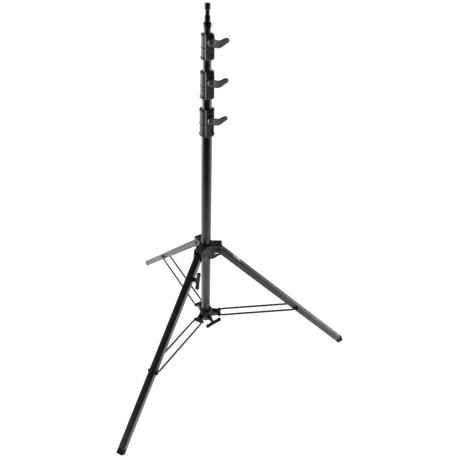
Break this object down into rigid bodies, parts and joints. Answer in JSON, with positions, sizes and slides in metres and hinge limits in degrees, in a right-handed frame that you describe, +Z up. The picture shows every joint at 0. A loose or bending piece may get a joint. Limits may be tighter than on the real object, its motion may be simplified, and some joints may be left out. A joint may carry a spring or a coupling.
{
  "type": "lighting stand",
  "caption": "Folding steel lighting stand with telescoping risers, wing-lever clamps, a levelling leg, rod braces on a sliding spreader, and a spigot top.",
  "frame": {"origin": "centre of the bounding box at floor level, under the stand's footprint; the column axis is at x = -0.1434, y = -0.0000 m", "axes": "+Z up along the column; +X out along the right leg, which lies in the X-Z plane of the column; the other legs are 120 degrees on each side"},
  "size_m": [0.9036, 1.0434, 1.37],
  "materials": {
    "tube_paint": "satin black powder coat on steel tube",
    "casting": "fine-textured black paint on cast metal",
    "spigot": "satin dark coated turned steel",
    "lever": "satin grey coated die casting",
    "knob": "matt dark grey moulded plastic",
    "rubber": "matt black rubber",
    "nylon": "black nylon",
    "brass_pad": "plain brass",
    "steel_pin": "plain steel",
    "fastener": "black oxide steel"
  },
  "bodies": {
    "base": {"base_tube": "tube_paint", "base_end_cap": "rubber", "shoulder_casting": "casting", "shoulder_screw": "fastener", "collar_1": "casting", "clamp_pad_1": "brass_pad", "collar_set_screw_1": "fastener", "leg_pivot_bolt_right": "fastener", "leg_pivot_bolt_rear": "fastener", "leg_pivot_bolt_front": "fastener"},
    "riser_1_guide": {"riser_1_guide": "nylon"},
    "riser_1": {"riser_1_tube": "tube_paint", "collar_2": "casting", "clamp_pad_2": "brass_pad", "collar_set_screw_2": "fastener"},
    "riser_2_guide": {"riser_2_guide": "nylon"},
    "riser_2": {"riser_2_tube": "tube_paint", "collar_3": "casting", "clamp_pad_3": "brass_pad", "collar_set_screw_3": "fastener"},
    "riser_3_guide": {"riser_3_guide": "nylon"},
    "riser_3": {"riser_3_tube": "tube_paint", "spigot": "spigot", "spigot_pin": "steel_pin"},
    "lever_1": {"lever_1": "lever", "clamp_screw_1": "fastener"},
    "lever_2": {"lever_2": "lever", "clamp_screw_2": "fastener"},
    "lever_3": {"lever_3": "lever", "clamp_screw_3": "fastener"},
    "leg_right": {"leg_right": "tube_paint", "foot_right": "rubber"},
    "leg_rear": {"leg_rear": "tube_paint", "foot_rear": "rubber"},
    "leg_front": {"leg_front_outer": "tube_paint", "levelling_boss": "casting"},
    "leg_front_inner": {"leg_front_inner": "tube_paint", "foot_front": "rubber"},
    "levelling_knob": {"levelling_knob": "knob", "levelling_screw": "fastener"},
    "spreader": {"spreader_casting": "casting", "spreader_bolt_right": "fastener", "spreader_bolt_rear": "fastener", "spreader_bolt_front": "fastener"},
    "spreader_knob": {"spreader_knob": "knob", "spreader_screw": "fastener"},
    "brace_right": {"brace_rod_right_left": "tube_paint", "brace_rod_right_right": "tube_paint", "brace_rivet_right_left": "fastener", "brace_rivet_right_right": "fastener"},
    "brace_rear": {"brace_rod_rear_left": "tube_paint", "brace_rod_rear_right": "tube_paint", "brace_rivet_rear_left": "fastener", "brace_rivet_rear_right": "fastener"},
    "brace_front": {"brace_rod_front_left": "tube_paint", "brace_rod_front_right": "tube_paint", "brace_rivet_front_left": "fastener", "brace_rivet_front_right": "fastener"}
  },
  "joints": [
    {"name": "riser_1_slide", "type": "slide", "parent": "base", "child": "riser_1_guide", "axis": [0, 0, 1], "range_m": [0, 0.762]},
    {"name": "riser_1_turn", "type": "hinge", "parent": "riser_1_guide", "child": "riser_1", "pos_m": [-0.14339, 0, 0.1723], "axis": [0, 0, 1], "continuous": true},
    {"name": "riser_2_slide", "type": "slide", "parent": "riser_1", "child": "riser_2_guide", "axis": [0, 0, 1], "range_m": [0, 0.853]},
    {"name": "riser_2_turn", "type": "hinge", "parent": "riser_2_guide", "child": "riser_2", "pos_m": [-0.14339, 0, 0.1986], "axis": [0, 0, 1], "continuous": true},
    {"name": "riser_3_slide", "type": "slide", "parent": "riser_2", "child": "riser_3_guide", "axis": [0, 0, 1], "range_m": [0, 0.941]},
    {"name": "riser_3_turn", "type": "hinge", "parent": "riser_3_guide", "child": "riser_3", "pos_m": [-0.14339, 0, 0.2249], "axis": [0, 0, 1], "continuous": true},
    {"name": "lever_1_turn", "type": "hinge", "parent": "base", "child": "lever_1", "pos_m": [-0.13166, -0.02762, 1.041], "axis": [0.3907, -0.9205, 0], "range_deg": [0, 180]},
    {"name": "lever_2_turn", "type": "hinge", "parent": "riser_1", "child": "lever_2", "pos_m": [-0.13166, -0.02762, 1.159], "axis": [0.3907, -0.9205, 0], "range_deg": [0, 180]},
    {"name": "lever_3_turn", "type": "hinge", "parent": "riser_2", "child": "lever_3", "pos_m": [-0.13166, -0.02762, 1.273], "axis": [0.3907, -0.9205, 0], "range_deg": [0, 180]},
    {"name": "spreader_slide", "type": "slide", "parent": "base", "child": "spreader", "axis": [0, 0, 1], "range_m": [0, 0.208]},
    {"name": "leg_right_fold", "type": "hinge", "parent": "base", "child": "leg_right", "pos_m": [-0.09739, 0, 0.522], "axis": [0, 1, 0], "range_deg": [0, 32.77]},
    {"name": "brace_right_fold", "type": "hinge", "parent": "spreader", "child": "brace_right", "pos_m": [-0.08839, 0, 0.181], "axis": [0, 1, 0], "range_deg": [0, 78.05]},
    {"name": "leg_rear_fold", "type": "hinge", "parent": "base", "child": "leg_rear", "pos_m": [-0.16639, 0.03984, 0.522], "axis": [-0.866, -0.5, 0], "range_deg": [0, 32.77]},
    {"name": "brace_rear_fold", "type": "hinge", "parent": "spreader", "child": "brace_rear", "pos_m": [-0.17089, 0.04763, 0.181], "axis": [-0.866, -0.5, 0], "range_deg": [0, 78.05]},
    {"name": "leg_front_fold", "type": "hinge", "parent": "base", "child": "leg_front", "pos_m": [-0.16639, -0.03984, 0.522], "axis": [0.866, -0.5, 0], "range_deg": [0, 32.77]},
    {"name": "brace_front_fold", "type": "hinge", "parent": "spreader", "child": "brace_front", "pos_m": [-0.17089, -0.04763, 0.181], "axis": [0.866, -0.5, 0], "range_deg": [0, 78.05]},
    {"name": "spreader_knob_turn", "type": "hinge", "parent": "spreader", "child": "spreader_knob", "pos_m": [-0.11139, -0.05543, 0.176], "axis": [0.5, -0.866, 0], "continuous": true},
    {"name": "levelling_leg_slide", "type": "slide", "parent": "leg_front", "child": "leg_front_inner", "axis": [-0.3625, -0.6278, -0.6888], "range_m": [0, 0.06]},
    {"name": "levelling_knob_turn", "type": "hinge", "parent": "leg_front", "child": "levelling_knob", "pos_m": [-0.17152, -0.11473, 0.45794], "axis": [0.866, -0.5, 0], "continuous": true}
  ],
  "couplings": [
    {"joint": "leg_right_fold", "follows": "spreader_slide", "rad_per_m": 2.7497},
    {"joint": "brace_right_fold", "follows": "spreader_slide", "rad_per_m": 6.5492},
    {"joint": "leg_rear_fold", "follows": "spreader_slide", "rad_per_m": 2.7497},
    {"joint": "brace_rear_fold", "follows": "spreader_slide", "rad_per_m": 6.5492},
    {"joint": "leg_front_fold", "follows": "spreader_slide", "rad_per_m": 2.7497},
    {"joint": "brace_front_fold", "follows": "spreader_slide", "rad_per_m": 6.5492}
  ]
}
